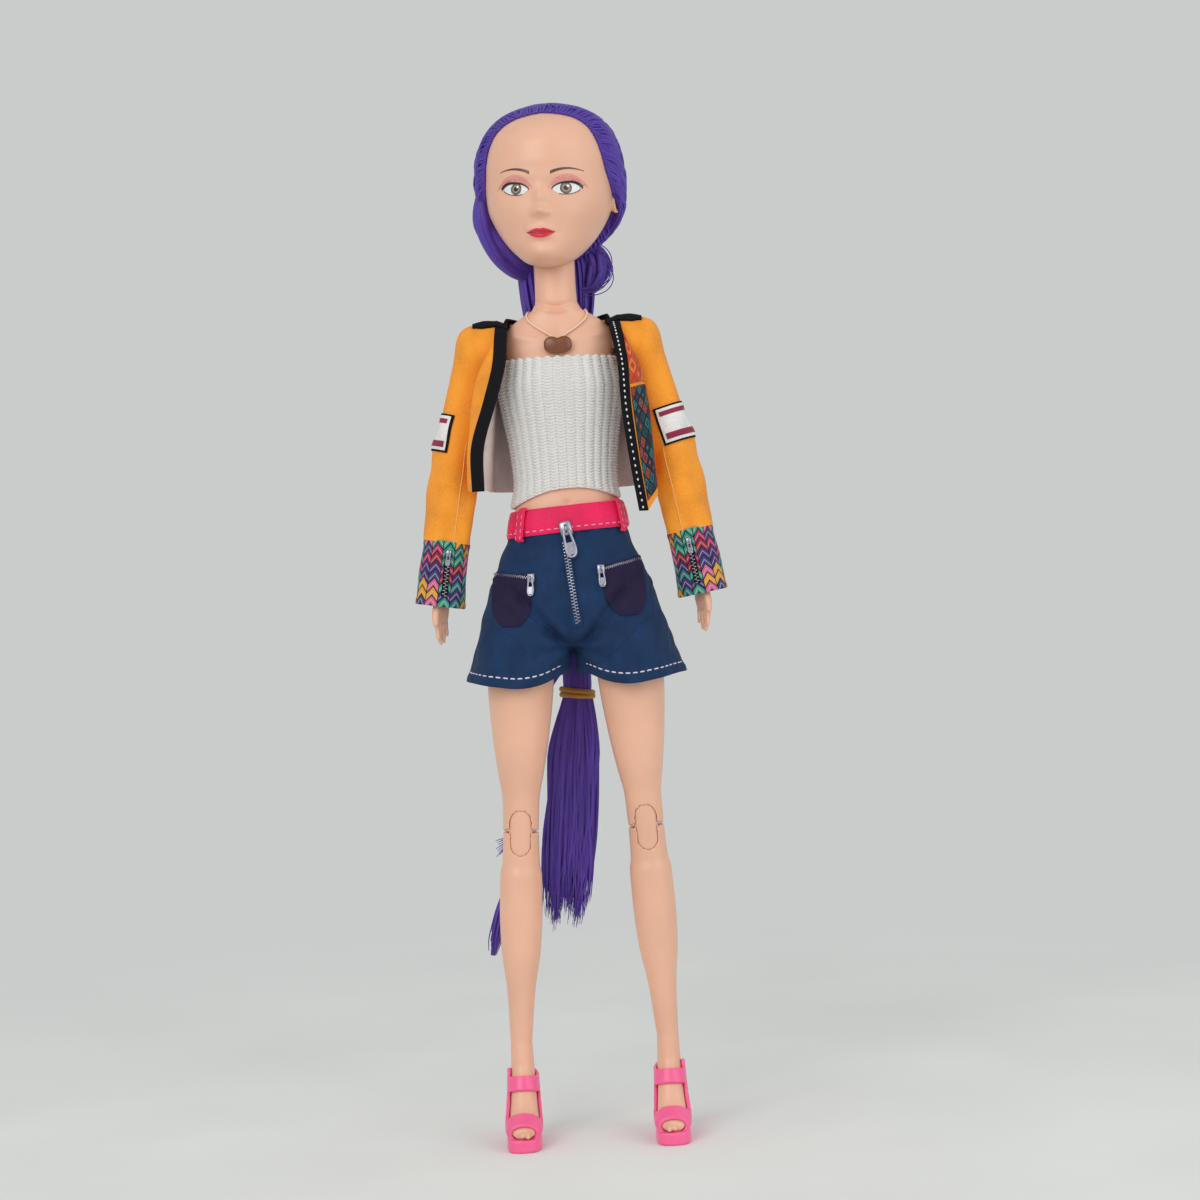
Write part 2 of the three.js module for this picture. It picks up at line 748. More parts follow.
// One ring of the foot, in a frame at the ankle, with the floor at minus the ankle's height.
function footRing(place, offset = 0) {
  const [forward, height, tilt, wide, thick] = footStation(place);
  const angle = THREE.MathUtils.degToRad(tilt);
  const halfWidth = wide * footHalfWidth + offset;
  const ring = ellipseRing(point(0, 0, 0), halfWidth, thick * footHalfThickness + offset, footSides);
  return ring.map((p) => p.applyAxisAngle(point(1, 0, 0), -angle).add(
    point(0, -forward * footReach, (height - 1) * ankleHeight),
  ));
}

function footLoft(places, offset = 0) {
  return toSolid(loft(places.map((place) => footRing(place, offset))));
}

function shin() {
  const shares = [[0.16, 0.98, 0.98], [0.34, 1, 1], [0.52, 0.93, 0.93], [0.74, 0.66, 0.7]];
  const rings = [
    kneeRing(kneeSpan / 2),
    kneeRing(-linkRadius, 1.06, 1.04),
    ...shares.map(([down, wide, deep]) => (
      ellipseRing(point(0, 0, -down * shinLength), wide * calfHalfWidth, deep * calfHalfDepth, legSides)
    )),
    ellipseRing(point(0, 0, -shinLength), ankleHalfWidth, ankleHalfDepth, legSides),
  ];
  const foot = footLoft([0, 1, 2, 3, 4, 5, 6])
    .rotate([0, THREE.MathUtils.radToDeg(legSplay), 0])
    .translate([0, 0, -shinLength]);
  return join(cut(toSolid(loft(rings)), kneeCut(-1)), foot);
}

// Shoe, in a frame at the ankle that stands upright
const platformShares = [
  [-1.04, 0], [-1, 0.6], [-0.86, 0.92], [-0.62, 1], [-0.36, 0.86], [-0.24, 0.5], [-0.22, 0],
];
function shoe() {
  const floor = -ankleHeight;
  const shellPlaces = [0.8, 1.4, 2, 2.5, 3, 3.5, 4, 5, 6];
  const shell = footLoft(shellPlaces, gap + shoeWall);
  const half = platformShares.map(([along, wide]) => [along * footReach, wide * platformHalfWidth]);
  const outline = new THREE.Shape([
    ...half.map(([y, x]) => new THREE.Vector2(x, y)),
    ...half.slice(1, -1).reverse().map(([y, x]) => new THREE.Vector2(-x, y)),
  ]);
  const platform = toSolid(new THREE.ExtrudeGeometry(outline, {
    depth: platformThickness + shoeWall,
    bevelEnabled: false,
  }).translate(0, 0, floor));
  const heel = toSolid(loft([
    ellipseRing(point(0, heelBack, floor), heelTipRadius, heelTipRadius, rodSides),
    ellipseRing(
      point(0, heelBack - heelTipRadius, floor + ankleHeight * heelHeightShare),
      heelTopRadius,
      heelTopRadius,
      rodSides,
    ),
  ]));
  const ankleWindow = prism([
    [-0.1 * footReach, -0.42 * ankleHeight], [-0.31 * footReach, -0.63 * ankleHeight],
    [-0.8 * footReach, -0.56 * ankleHeight], [-0.5 * footReach, -0.3 * ankleHeight],
  ], 2 * platformHalfWidth);
  const toeWindow = prism([
    [-0.82 * footReach, -0.87 * ankleHeight], [-0.8 * footReach, -0.6 * ankleHeight],
    [-1.4 * footReach, -0.6 * ankleHeight], [-1.4 * footReach, -0.87 * ankleHeight],
  ], 2 * platformHalfWidth);
  const footRoom = footLoft([0, 1, 2, 3, 4, 5, 6], gap);
  return cut(join(cut(shell, ankleWindow, toeWindow), platform, heel), footRoom);
}
// Head

// Sections of the head from chin to crown: height, half width, front and back depth, as shares.
const headShares = [
  [0, 0.12, 0.62, -0.3], [0.03, 0.34, 0.74, 0.02], [0.08, 0.52, 0.82, 0.3], [0.15, 0.7, 0.86, 0.5],
  [0.22, 0.82, 0.88, 0.66], [0.3, 0.91, 0.9, 0.8], [0.38, 0.96, 0.91, 0.9], [0.46, 0.99, 0.92, 0.97],
  [0.55, 1, 0.94, 1], [0.64, 1, 0.97, 1.02], [0.73, 0.97, 0.96, 1.01], [0.82, 0.89, 0.88, 0.94],
  [0.9, 0.74, 0.7, 0.78], [0.96, 0.5, 0.42, 0.52], [1, 0.14, 0.06, 0.16],
];

// Nose tip, nose bridge, lips, chin, eye hollows and cheeks: how far each stands out as a share of the
// face's depth, then its place and spread across and up, as shares of half width and head height.
const faceBumpShares = [
  [0.14, 0, 0.33, 0.12, 0.035], [0.07, 0, 0.42, 0.09, 0.06], [0.07, 0, 0.2, 0.2, 0.03],
  [0.07, 0, 0.07, 0.25, 0.05], [-0.06, 0.38, 0.46, 0.2, 0.05], [0.03, 0.5, 0.3, 0.25, 0.08],
];

// How far the face stands out at a place: across and up, as shares of half width and head height.
function faceRelief(across, up) {
  const share = faceBumpShares.reduce((sum, [height, atAcross, atUp, wide, high]) => (
    sum + height * Math.exp(-(((Math.abs(across) - atAcross) / wide) ** 2) - (((up - atUp) / high) ** 2))
  ), 0);
  return share * faceDepth;
}

function headRing(share, offset) {
  const last = headShares.length - 2;
  const start = Math.min(Math.max(headShares.findIndex((row, i) => i > 0 && share <= row[0]) - 1, 0), last);
  const low = headShares[start];
  const high = headShares[start + 1];
  const along = (share - low[0]) / (high[0] - low[0]);
  const [wide, front, back] = [1, 2, 3].map((i) => mix(low[i], high[i], along));
  const ring = [];
  for (let i = 0; i < headSides; i += 1) {
    const turn = (i / headSides) * 2 * Math.PI;
    const angle = turn - faceCrowding * Math.sin(turn);
    const x = Math.sin(angle) * (wide * headHalfWidth + offset);
    const middle = (back * skullDepth - front * faceDepth) / 2;
    const half = (back * skullDepth + front * faceDepth) / 2 + offset;
    const facing = Math.cos(angle);
    const relief = facing > 0 ? facing * faceRelief(x / headHalfWidth, share) : 0;
    ring.push(point(x, middle - facing * half - relief, -chinDrop + share * headHeight));
  }
  return ring;
}

// The whole head, grown by an offset, in a frame at the neck's pivot.
function headLoft(offset) {
  const rings = headShares.map(([share]) => {
    const lift = (2 * share - 1) * offset;
    return headRing(share, offset).map((p) => p.setZ(p.z + lift));
  });
  return toSolid(loft(rings)).translate([0, -headCentreShift, 0]);
}

function ear(side, offset = 0) {
  const shape = new THREE.SphereGeometry(1, earSides, earSides);
  shape.scale(earThickness + offset, earHalfWidth + offset, earHalfHeight + offset);
  return toSolid(shape.translate(side * headHalfWidth * earSinkShare, 0, headHeight * earRiseShare));
}


function head() {
  const socket = ball(neckRadius + runningGap, point(0, 0, 0));
  const skirtFoot = point(0, 0, -2 * chinDrop);
  const skirtRadius = neckRadius + neckSkirtFlare;
  const skirt = rod(skirtRadius, skirtFoot, point(0, 0, 0), torsoSides, neckRadius + runningGap);
  const neckWay = rod(anchorStemRadius + gap, point(0, 0, 0), point(0, 0, anchorRise));
  const hollow = headLoft(-headWall).intersect(block(
    point(-2 * headHalfWidth, -2 * faceDepth, anchorRise - gap),
    point(2 * headHalfWidth, 2 * skullDepth, headHeight),
  ));
  return cut(join(headLoft(0), ear(1), ear(-1)), socket, skirt, neckWay, hollow);
}
// Neck anchor: a tongue in the neck's slot, a stem and the disc that the head turns on.
function neckAnchor() {
  const tongueSide = point(anchorTongueHalf, 0, 0);
  const tongue = rod(neckTongueRadius, tongueSide.clone().negate(), tongueSide, ballSides);
  const stem = rod(anchorTongueHalf, point(0, 0, 0), point(0, 0, neckRadius + gap));
  const head = rod(anchorStemRadius, point(0, 0, neckRadius + gap), point(0, 0, anchorRise + gap));
  const discTop = point(0, 0, anchorRise + anchorDiscThickness);
  const disc = rod(anchorDiscRadius, point(0, 0, anchorRise), discTop, ballSides);
  const bore = rod(pinHole, point(-cutOver, 0, 0), point(cutOver, 0, 0), pinSides);
  return cut(join(tongue, stem, head, disc), bore);
}

// Hair over the scalp: a thick skin over the head, behind the hairline.
// The hairline seen from the side: forward and height, as shares of face depth and head height.
const hairlineShares = [
  [0.55, 1.2], [0.5, 0.97], [0.42, 0.8], [0.38, 0.6], [0.2, 0.47], [-0.12, 0.4], [-0.35, 0.2], [-0.5, -0.02],
  [-0.55, -0.2], [1.8, -0.2], [1.8, 1.2],
];
function hairCap() {
  const neckRoom = rod(
    neckRadius + neckSkirtFlare + 2 * gap,
    point(0, 0, -3 * chinDrop),
    point(0, 0, neckRadius),
    torsoSides,
  );
  const outline = hairlineShares.map(([forward, up]) => [-forward * faceDepth, up * headHeight - chinDrop]);
  const faceSide = prism(outline, 2 * headHalfWidth);
  return cut(headLoft(hairThickness), headLoft(gap), neckRoom, faceSide, ear(1, gap), ear(-1, gap));
}

// Hair down the back, in the torso's frame. Each station: place back, rise, half width and half depth, as
// shares of the hair's place back, the shoulder's rise, and the bundle's half width and half depth.
const bundleShares = [
  [0.72, 1.4, 0.9, 0.7], [0.72, 1.3, 1.04, 0.9], [0.74, 1.2, 1, 0.84], [0.92, 1.08, 0.88, 0.8],
];
const gatherShares = [1, 0.95, 0.75, 0.85];
const tailShares = [[1, 0.6, 0.6, 0.8], [1.02, 0.2, 0.44, 0.72]];
function hairRing([back, rise, wide, deep], drop = 0) {
  const centre = point(0, back * hairBack, rise * shoulderRise - drop);
  return ellipseRing(centre, wide * hairBundleHalfWidth, deep * hairBundleHalfDepth, hairSides);
}

// The gathered hair behind the neck, cut clear of the hair over the scalp.
function hairBundle() {
  const rings = [...bundleShares, gatherShares].map((row) => hairRing(row));
  const scalp = headLoft(hairThickness + gap)
    .rotate([0, 0, THREE.MathUtils.radToDeg(headTurn)])
    .translate([0, 0, neckPivotRise]);
  return toSolid(loft(rings)).subtract(scalp);
}

const tieTop = hairTieRise + hairTieWidth / 2 + gap;
const tieBottom = hairTieRise - hairTieWidth / 2 - gap;
const tieBite = hairTieThickness * 0.4;
function tailRing(rise, wide, deep) {
  return ellipseRing(point(0, hairBack, rise), wide, deep, hairSides);
}

// The long tail, drawn in where the band goes round it.
function ponytail() {
  const bite = tieBite + gap;
  return loft([
    hairRing(gatherShares, gap),
    ...tailShares.map((row) => hairRing(row)),
    tailRing(-0.1 * shoulderRise, hairTailHalfWidth, hairTailHalfDepth),
    tailRing(tieTop, hairTailHalfWidth, hairTailHalfDepth),
    tailRing(tieTop, hairTailHalfWidth - bite, hairTailHalfDepth - bite),
    tailRing(tieBottom, hairTailHalfWidth - bite, hairTailHalfDepth - bite),
  ]);
}

// Below the band: drop as a share of the tuft's length, place back as a share of the hair's, width and depth
// as shares of the tuft's half width and the tail's half depth.
const tuftShares = [[0, 1, 0.55, 1], [0.2, 1, 0.66, 1], [0.6, 0.97, 1, 1], [1, 0.94, 0.8, 0.7]];
function ponytailTuft() {
  return loft(tuftShares.map(([drop, back, wide, deep]) => ellipseRing(
    point(0, back * hairBack, mix(tieBottom - gap, hairTieRise - tuftLength, drop)),
    wide * tuftHalfWidth,
    deep * hairTailHalfDepth,
    hairSides,
  )));
}

function hairTie() {
  const outer = hairTieThickness - tieBite;
  const ring = (rise, offset) => tailRing(rise, hairTailHalfWidth + offset, hairTailHalfDepth + offset);
  const low = tieBottom + gap;
  const high = tieTop - gap;
  return loopLoft([ring(low, outer), ring(high, outer), ring(high, -tieBite), ring(low, -tieBite)]);
}

// The slim lock behind the right leg: a route of points, as shares of the half span and of the leg's drop.
const sideLockShares = [
  [-0.36, 1.08, -0.13], [-0.9, 1.1, -0.17], [-1.42, 1.06, -0.25], [-1.62, 0.98, -0.33], [-1.76, 0.9, -0.44],
  [-1.84, 0.84, -0.56], [-1.9, 0.78, -0.68], [-1.92, 0.74, -0.79],
];
function sideLock() {
  const route = sideLockShares.map(([x, y, z]) => point(x * hipHalfSpan, y * hairBack, z * legDrop));
  const curve = new THREE.CatmullRomCurve3(route);
  const stepShares = [0, 0.12, 0.24, 0.36, 0.48, 0.58, 0.66, 0.74, 0.84, 0.94, 1];
  const widthShares = [0.6, 0.9, 1, 1, 1, 0.95, 0.9, 1.1, 1.5, 1.4, 0.7];
  return loft(stepShares.map((share, i) => {
    const centre = curve.getPoint(share);
    const along = curve.getTangent(share);
    const turn = new THREE.Quaternion().setFromUnitVectors(point(0, 0, 1), along.negate());
    const radius = widthShares[i] * sideLockRadius;
    const ring = ellipseRing(point(0, 0, 0), radius, radius, lockSides);
    return ring.map((p) => p.applyQuaternion(turn).add(centre));
  }));
}

// Clothes

function tubeTop() {
  const lowest = bandTopRise + 2 * gap;
  const bottom = (angle) => lowest + topArch * Math.max(0, -Math.sin(angle)) ** 2;
  const rises = [bottom, ...torsoRows.slice(6, 11).map((row) => row.rise)];
  const outer = rises.map((rise) => torsoRing(rise, topFit + clothThickness));
  const inner = rises.map((rise) => torsoRing(rise, topFit));
  return loopLoft([...outer, ...inner.reverse()]);
}

const bandBottomRise = torsoRows[4].rise + gap;
const bandTopRise = torsoRows[5].rise;
function waistband() {
  const rises = [bandBottomRise, bandTopRise];
  const outer = rises.map((rise) => torsoRing(rise, bandFit + waistbandThickness));
  const inner = rises.map((rise) => torsoRing(rise, bandFit));
  return loopLoft([...outer, ...inner.reverse()]);
}

// Shorts: hips and two flared legs, less the same shapes one cloth thickness smaller.
// Hip sections: rise, half width, front, back, as shares of shoulder rise, hem half width and hem half depth.
const shortsHipShares = [
  [0.286, 1.14, 0.74, 0.77], [0.18, 1.4, 0.86, 0.9], [0.08, 1.66, 0.93, 0.97], [-0.03, 1.78, 0.96, 1],
  [-0.14, 1.2, 0.6, 0.64],
];
function shortsBody(inset) {
  const rings = shortsHipShares.map(([rise, wide, front, back], row) => {
    const isTop = row === 0;
    const isCrotch = row === shortsHipShares.length - 1;
    const lift = (isTop && inset > 0 ? cutOver : 0) + (isCrotch ? inset : 0);
    const middle = (back - front) * shortsHemHalfDepth / 2;
    const halfDepth = (back + front) * shortsHemHalfDepth / 2 - inset;
    const centre = point(0, middle, rise * shoulderRise + lift);
    return ellipseRing(centre, wide * shortsHemHalfWidth - inset, halfDepth, torsoSides, shortsSquareness);
  });
  return toSolid(loft(rings));
}

function shortsLeg(side, inset) {
  const topRise = 0.8 * hipBallRadius;
  const heights = [topRise, shortsLowest / 2, shortsLowest - (inset > 0 ? cutOver : 0)];
  const centreShares = [0.7, 0.85, 1];
  const widthShares = [0.88, 0.95, 1];
  const foldShares = [0, 0.5, 1];
  const rings = heights.map((rise, row) => {
    const ring = [];
    for (let i = 0; i < hemSides; i += 1) {
      const angle = (i / hemSides) * 2 * Math.PI;
      const outward = Math.cos(angle);
      const fold = foldShares[row] * shortsFold * Math.sin(shortsFoldCount * angle) * Math.max(0, outward);
      const halfWidth = widthShares[row] * shortsHemHalfWidth + fold - inset;
      const halfDepth = widthShares[row] * shortsHemHalfDepth + fold - inset;
      const x = side * (centreShares[row] * shortsHemCentre + outward * halfWidth);
      ring.push(point(x, Math.sin(angle) * halfDepth, rise));
    }
    return ring;
  });
  return toSolid(loft(rings));
}

function shorts() {
  const outer = join(shortsBody(0), shortsLeg(1, 0), shortsLeg(-1, 0));
  const inner = join(shortsBody(clothThickness), shortsLeg(1, clothThickness), shortsLeg(-1, clothThickness));
  return outer.subtract(inner);
}

// Jacket front, left half: rows from hem to shoulder, five points a row from side seam to front edge.
// Each point is across, forward and up, as shares of the jacket's half width, depth and length.
const jacketFrontShares = [
  [[1, -0.02, 0], [1.08, 0.46, 0], [1.34, 0.68, 0], [1.38, 0.88, 0.01], [1.23, 1, 0.01]],
  [[0.95, -0.02, 0.24], [0.99, 0.46, 0.24], [1.28, 0.66, 0.24], [1.28, 0.9, 0.25], [1.07, 1.04, 0.26]],
  [[0.88, -0.02, 0.48], [0.92, 0.47, 0.48], [1.19, 0.64, 0.48], [1.14, 0.92, 0.49], [0.89, 1.08, 0.5]],
  [[0.8, 0.26, 0.66], [0.88, 0.5, 0.68], [0.99, 0.68, 0.68], [0.92, 0.87, 0.69], [0.72, 0.98, 0.7]],
  [[0.745, 0.56, 0.84], [0.74, 0.62, 0.85], [0.72, 0.67, 0.86], [0.67, 0.71, 0.86], [0.6, 0.72, 0.87]],
  [[0.745, 0.1, 0.975], [0.69, 0.11, 0.985], [0.63, 0.12, 1], [0.57, 0.13, 1.015], [0.51, 0.14, 1.03]],
];
// Jacket back, left half, in the same shares, from the middle to the side seam.
const jacketBackShares = [
  [[0, -1, 0.01], [0.42, -0.99, 0], [0.78, -0.9, 0], [0.97, -0.56, 0], [1, -0.06, 0]],
  [[0, -0.96, 0.24], [0.4, -0.95, 0.24], [0.74, -0.82, 0.24], [0.92, -0.5, 0.24], [0.95, -0.06, 0.24]],
  [[0, -0.93, 0.48], [0.38, -0.92, 0.48], [0.7, -0.79, 0.48], [0.85, -0.5, 0.48], [0.88, -0.06, 0.48]],
  [[0, -0.89, 0.66], [0.36, -0.87, 0.66], [0.62, -0.76, 0.66], [0.75, -0.6, 0.66], [0.8, -0.3, 0.66]],
  [[0, -0.8, 0.84], [0.32, -0.79, 0.84], [0.54, -0.74, 0.84], [0.67, -0.67, 0.84], [0.745, -0.56, 0.84]],
  [[0, -0.66, 0.99], [0.26, -0.58, 1.005], [0.45, -0.3, 1.02], [0.6, -0.09, 1.005], [0.745, -0.08, 0.975]],
];

function jacketPoints(shares) {
  return shares.map((row) => row.map(([across, forward, up]) => point(
    across * jacketHalfWidth,
    -forward * jacketDepth,
    jacketHemRise + up * jacketLength,
  )));
}

// The points of a grid, moved along the grid's own normals.
function shifted(grid, distance) {
  return grid.map((row, r) => row.map((p, c) => {
    const acrossRow = row[Math.min(c + 1, row.length - 1)].clone().sub(row[Math.max(c - 1, 0)]);
    const upRow = grid[Math.min(r + 1, grid.length - 1)][c].clone().sub(grid[Math.max(r - 1, 0)][c]);
    return p.clone().add(acrossRow.cross(upRow).normalize().multiplyScalar(distance));
  }));
}

// A grid refined along its rows by a smooth curve.
function refined(grid, count) {
  return grid.map((row) => {
    const curve = new THREE.CatmullRomCurve3(row);
    return Array.from({ length: count + 1 }, (_, i) => curve.getPoint(i / count));
  });
}

function clothSheet(grid, thickness = clothThickness) {
  return sheet(shifted(grid, thickness / 2), shifted(grid, -thickness / 2));
}

function mirrored(row) {
  return row.map((p) => point(-p.x, p.y, p.z)).reverse();
}

function jacketBack() {
  const half = jacketPoints(jacketBackShares);
  const grid = half.map((row) => [...mirrored(row), ...row.slice(1)]);
  return clothSheet(refined(grid, 16));
}

function jacketFront() {
  return clothSheet(refined(jacketPoints(jacketFrontShares), 8));
}

// The band along a front panel's edge: the edge line set off from the panel's outer face.
function frontTrim() {
  const edge = jacketPoints(jacketFrontShares).map((row) => row[row.length - 1]);
  const inward = jacketPoints(jacketFrontShares).map((row) => row[row.length - 2]);
  const centre = edge.map((p, i) => {
    const away = p.clone().sub(inward[i]).normalize();
    return { p, away };
  });
  const start = clothThickness / 2 + gap;
  const grid = centre.map(({ p, away }) => [
    p.clone().addScaledVector(away, start),
    p.clone().addScaledVector(away, start + trimWidth),
  ]);
  return clothSheet(grid, trimThickness);
}

// Collar: a low standing band round the back of the neck, from one front edge to the other.
function collar() {
  const rise = jacketHemRise + jacketLength * 1.03 + clothThickness / 2 + gap;
  const angles = Array.from({ length: 13 }, (_, i) => mix(-0.05, 1.05, i / 12) * Math.PI);
  const rows = [0, collarHeight].map((up) => angles.map((angle) => point(
    Math.cos(angle) * collarHalfWidth,
    Math.sin(angle) * collarHalfDepth - collarForward,
    rise + up,
  )));
  return clothSheet(rows, trimThickness);
}
// Sleeve rings in the XZ plane, from the armhole to the cuff, as inner and outer ends of each ring.
function splayedPoint(start, splay, distance, across) {
  const direction = point(Math.sin(splay), 0, -Math.cos(splay));
  const outward = point(Math.cos(splay), 0, Math.sin(splay));
  return start.clone().addScaledVector(direction, distance).addScaledVector(outward, across);
}

const shoulderPoint = point(shoulderHalfSpan, 0, shoulderRise);
const elbowPoint = splayedPoint(shoulderPoint, upperArmSplay, upperArmLength, 0);
function armPoint(distance, across) {
  return splayedPoint(shoulderPoint, upperArmSplay, distance, across);
}

function forearmPoint(distance, across) {
  return splayedPoint(elbowPoint, forearmSplay, distance, across);
}

// The inner and outer end of a straight ring round the arm: a distance down, and shares of the half width.
function armEnds(at, distance, innerShare, outerShare = innerShare) {
  return { inner: at(distance, -innerShare * sleeveHalfWidth), outer: at(distance, outerShare * sleeveHalfWidth) };
}

function sleeveEnds() {
  const w = sleeveHalfWidth;
  const armholeX = shoulderHalfSpan - armholeInset;
  const middle = shoulderRise - armholeDrop;
  const h = armholeHalfHeight;
  const under = (x, share) => point(x, 0, middle - share * h);
  const armX = armPoint(0.54 * upperArmLength, -w).x;
  return [
    { inner: under(armholeX, 1), outer: under(armholeX, -1) },
    { inner: under(armholeX + 0.15 * w, 1.12), outer: armPoint(-1.2 * w, 0.3 * w) },
    { inner: under(mix(armholeX, armX, 0.4), 1.3), outer: armPoint(-0.45 * w, 1.15 * w) },
    { inner: under(mix(armholeX, armX, 0.5), 1.6), outer: armPoint(1.1 * w, 1.12 * w) },
    armEnds(armPoint, 0.62 * upperArmLength, 1),
    armEnds(armPoint, 0.9 * upperArmLength, 0.98, 1),
    armEnds(forearmPoint, 0.14 * forearmLength, 1),
    armEnds(forearmPoint, 0.4 * forearmLength, 0.93),
    armEnds(forearmPoint, cuffStart, 0.92),
  ];
}

function crossRing(inner, outer, halfDepth, offset, fold = 0) {
  const centre = inner.clone().add(outer).multiplyScalar(0.5);
  const half = outer.clone().sub(inner).multiplyScalar(0.5);
  const across = half.clone().normalize();
  const ring = [];
  for (let i = 0; i < sleeveSides; i += 1) {
    const angle = (i / sleeveSides) * 2 * Math.PI;
    const out = offset + fold * Math.cos(sleeveFoldCount * angle);
    ring.push(centre.clone()
      .addScaledVector(across, Math.cos(angle) * (half.length() + out))
      .add(point(0, Math.sin(angle) * (halfDepth + out), 0)));
  }
  return ring;
}

const sleeveDepthShares = [1.1, 1.09, 1.06, 1.02, 1, 1, 1, 0.96, 0.95];
const sleeveFoldShares = [0, 0.3, 0.6, 1, -1, 1, -1, 1, 0];
function sleeve() {
  const ends = sleeveEnds();
  const rings = (offset) => ends.map(({ inner, outer }, k) => crossRing(
    inner,
    outer,
    sleeveDepthShares[k] * sleeveHalfDepth,
    offset,
    sleeveFoldShares[k] * sleeveFold,
  ));
  return loopLoft([...rings(0), ...rings(-clothThickness).reverse()]);
}

function cuff() {
  const rings = (offset) => [0, 0.5, 1].map((share) => {
    const distance = mix(cuffStart + gap, cuffStart + cuffLength, share);
    const { inner, outer } = armEnds(forearmPoint, distance, mix(0.96, 1.06, share));
    return crossRing(inner, outer, 0.98 * sleeveHalfDepth, offset);
  });
  return loopLoft([...rings(0), ...rings(-clothThickness).reverse()]);
}

// Striped patch on the front of the upper sleeve.
function sleevePatch() {
  const rows = [0, 1].map((share) => {
    const distance = 0.94 * upperArmLength - share * patchHeight;
    const row = [];
    for (let i = 0; i <= 6; i += 1) {
      const angle = mix(-0.45, 0.85, i / 6) * Math.PI / 2;
      const out = sleeveFold + gap + patchThickness / 2;
      const centre = armPoint(distance, Math.sin(angle) * (sleeveHalfWidth + out));
      row.push(centre.add(point(0, -Math.cos(angle) * (sleeveHalfDepth + out), 0)));
    }
    return row;
  });
  return clothSheet(rows, patchThickness);
}

// Necklace: a cord round the neck's foot, closed on itself, and a pendant on the chest.
function necklaceCord() {
  const backRise = torsoRows[torsoRows.length - 1].rise - cordRadius;
  const centre = (i) => {
    const angle = (i / cordSteps) * 2 * Math.PI;
    const share = (1 - Math.sin(angle)) / 2;
    return torsoPoint(angle, mix(backRise, necklaceFrontRise, share ** 1.5), cordRadius + 2 * gap);
  };
  const rings = [];
  for (let i = 0; i < cordSteps; i += 1) {
    const along = centre(i + 1).sub(centre(i - 1)).normalize();
    const turn = new THREE.Quaternion().setFromUnitVectors(point(0, 0, 1), along);
    rings.push(ellipseRing(point(0, 0, 0), cordRadius, cordRadius, cordSides).map((p) => (
      p.applyQuaternion(turn).add(centre(i))
    )));
  }
  return loopLoft(rings);
}

function pendant() {
  const geometry = new THREE.SphereGeometry(1, ballSides, ballSides / 2);
  geometry.scale(pendantHalfWidth, pendantHalfThickness, pendantHalfHeight);
  const rise = necklaceFrontRise - cordRadius - gap - pendantHalfHeight;
  const chest = [rise - pendantHalfHeight, rise, rise + pendantHalfHeight].map((height) => (
    torsoPoint(-Math.PI / 2, height, gap + pendantHalfThickness).y
  ));
  return geometry.translate(0, Math.min(...chest), rise);
}

// The doll
const doll = new THREE.Group();
const body = addFrame(doll, 0, 0, hipHeight);

const torso = torsoSolid();
const frontHalf = block(
  point(-2 * chestHalfWidth, -3 * chestHalfDepth, -shoulderRise),
  point(2 * chestHalfWidth, -gap / 2, 2 * shoulderRise),
);
const backHalf = block(
  point(-2 * chestHalfWidth, gap / 2, -shoulderRise),
  point(2 * chestHalfWidth, 3 * chestHalfDepth, 2 * shoulderRise),
);
addPiece(body, 'torso_front', torso.intersect(frontHalf), skin);
addPiece(body, 'torso_back', torso.intersect(backHalf), skin);
addPiece(body, 'tube_top', tubeTop(), whiteKnit);
addPiece(body, 'waistband', waistband(), pinkCloth);
addPiece(body, 'shorts', shorts(), denim);
addPiece(body, 'jacket_back', jacketBack(), orangeCloth);
addPiece(body, 'jacket_collar', collar(), blackTrim);
addPiece(body, 'necklace_cord', necklaceCord(), cordPeach);
addPiece(body, 'pendant', pendant(), pendantBrown);

// Neck and head
const neckFrame = addFrame(body, 0, 0, neckPivotRise);
addPiece(neckFrame, 'neck_pin', crossPin(neckRadius - gap), steel);
addPiece(neckFrame, 'neck_anchor', neckAnchor(), innerPlastic);
const headFrame = addFrame(neckFrame, 0, 0, 0);
headFrame.rotation.z = headTurn;
addPiece(headFrame, 'head', head(), skin);
addPiece(headFrame, 'hair_cap', hairCap(), hair);

// Hair down the back
addPiece(body, 'hair_bundle', hairBundle(), hair);
addPiece(body, 'ponytail', ponytail(), hair);
addPiece(body, 'hair_tie', hairTie(), bandRubber);
addPiece(body, 'ponytail_tuft', ponytailTuft(), hair);
addPiece(body, 'side_lock', sideLock(), hair);

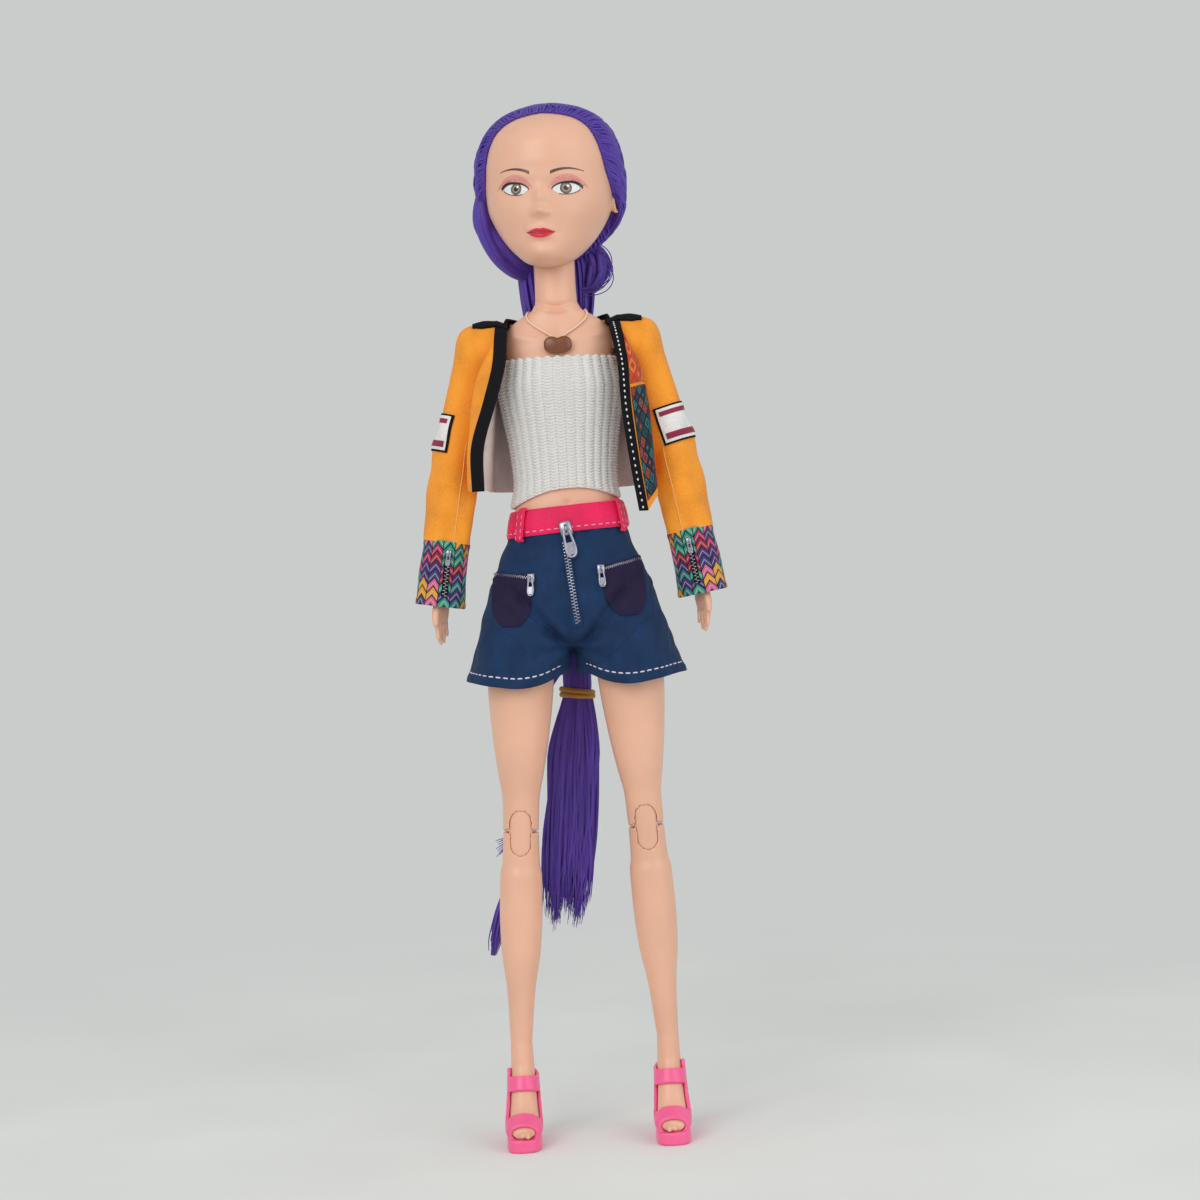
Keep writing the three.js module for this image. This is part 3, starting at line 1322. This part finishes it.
// Limbs, modelled for the left side and mirrored for the right one
for (const [name, side] of [['left', 1], ['right', -1]]) {
  const half = addFrame(body, 0, 0, 0);
  half.scale.x = side;

  addPiece(half, `jacket_front_${name}`, jacketFront(), orangeCloth);
  addPiece(half, `jacket_trim_${name}`, frontTrim(), blackTrim);
  addPiece(half, `sleeve_${name}`, sleeve(), orangeCloth);
  addPiece(half, `cuff_${name}`, cuff(), printedCloth);
  addPiece(half, `sleeve_patch_${name}`, sleevePatch(), stripedCloth);

  const shoulder = addFrame(half, shoulderHalfSpan, 0, shoulderRise);
  addPiece(shoulder, `shoulder_joint_${name}`, limbJoint({
    stubRadius: shoulderStubRadius,
    stubLength: shoulderStubLength,
    flangeRadius: shoulderFlangeRadius,
    flangeThickness: shoulderFlangeThickness,
    tongueRadius: shoulderTongueRadius,
    tongueHalf: shoulderTongueHalf,
    flatLength: shoulderHalfSpan - shoulderFlat,
  }), innerPlastic);
  const armFrame = addFrame(shoulder, 0, 0, 0);
  armFrame.rotation.y = -upperArmSplay;
  addPiece(armFrame, `shoulder_pin_${name}`, throughPin(shoulderBallRadius - gap), steel);
  addPiece(armFrame, `upper_arm_${name}`, upperArm(), skin);
  const elbow = addFrame(armFrame, 0, 0, -upperArmLength);
  addPiece(elbow, `elbow_pin_${name}`, crossPin(upperArmRadius - gap), steel);
  const forearmFrame = addFrame(elbow, 0, 0, 0);
  forearmFrame.rotation.y = upperArmSplay - forearmSplay;
  addPiece(forearmFrame, `forearm_${name}`, forearm(), skin);
  const wrist = addFrame(forearmFrame, 0, 0, -forearmLength);
  wrist.rotation.z = handTurn;
  addPiece(wrist, `hand_${name}`, hand(), skin);

  const hip = addFrame(half, hipHalfSpan, 0, 0);
  addPiece(hip, `hip_joint_${name}`, limbJoint({
    stubRadius: hipStubRadius,
    stubLength: hipStubLength,
    tongueRadius: hipTongueRadius,
    tongueHalf: hipTongueHalf,
    flatLength: hipBallRadius,
  }), innerPlastic);
  const thighFrame = addFrame(hip, 0, 0, 0);
  thighFrame.rotation.y = -legSplay;
  addPiece(thighFrame, `hip_pin_${name}`, throughPin(hipBallRadius - 2 * gap), steel);
  addPiece(thighFrame, `thigh_${name}`, thigh(), skin);
  const kneeUpper = addFrame(thighFrame, 0, 0, -thighLength);
  addPiece(kneeUpper, `knee_upper_pin_${name}`, crossPin(kneeHalfWidth - gap), steel);
  addPiece(kneeUpper, `knee_link_${name}`, kneeLink(), skin);
  const kneeLower = addFrame(kneeUpper, 0, 0, -kneeSpan);
  addPiece(kneeLower, `knee_lower_pin_${name}`, crossPin(kneeHalfWidth - gap), steel);
  addPiece(kneeLower, `shin_${name}`, shin(), skin);
  const ankle = addFrame(kneeLower, 0, 0, -shinLength);
  ankle.rotation.y = legSplay;
  addPiece(ankle, `shoe_${name}`, shoe(), shoePink);
}

// The origin is the middle of the footprint of the doll's outer box.
const outerBox = new THREE.Box3().setFromObject(doll, true);
doll.position.y = -(outerBox.min.y + outerBox.max.y) / 2;

export default doll;
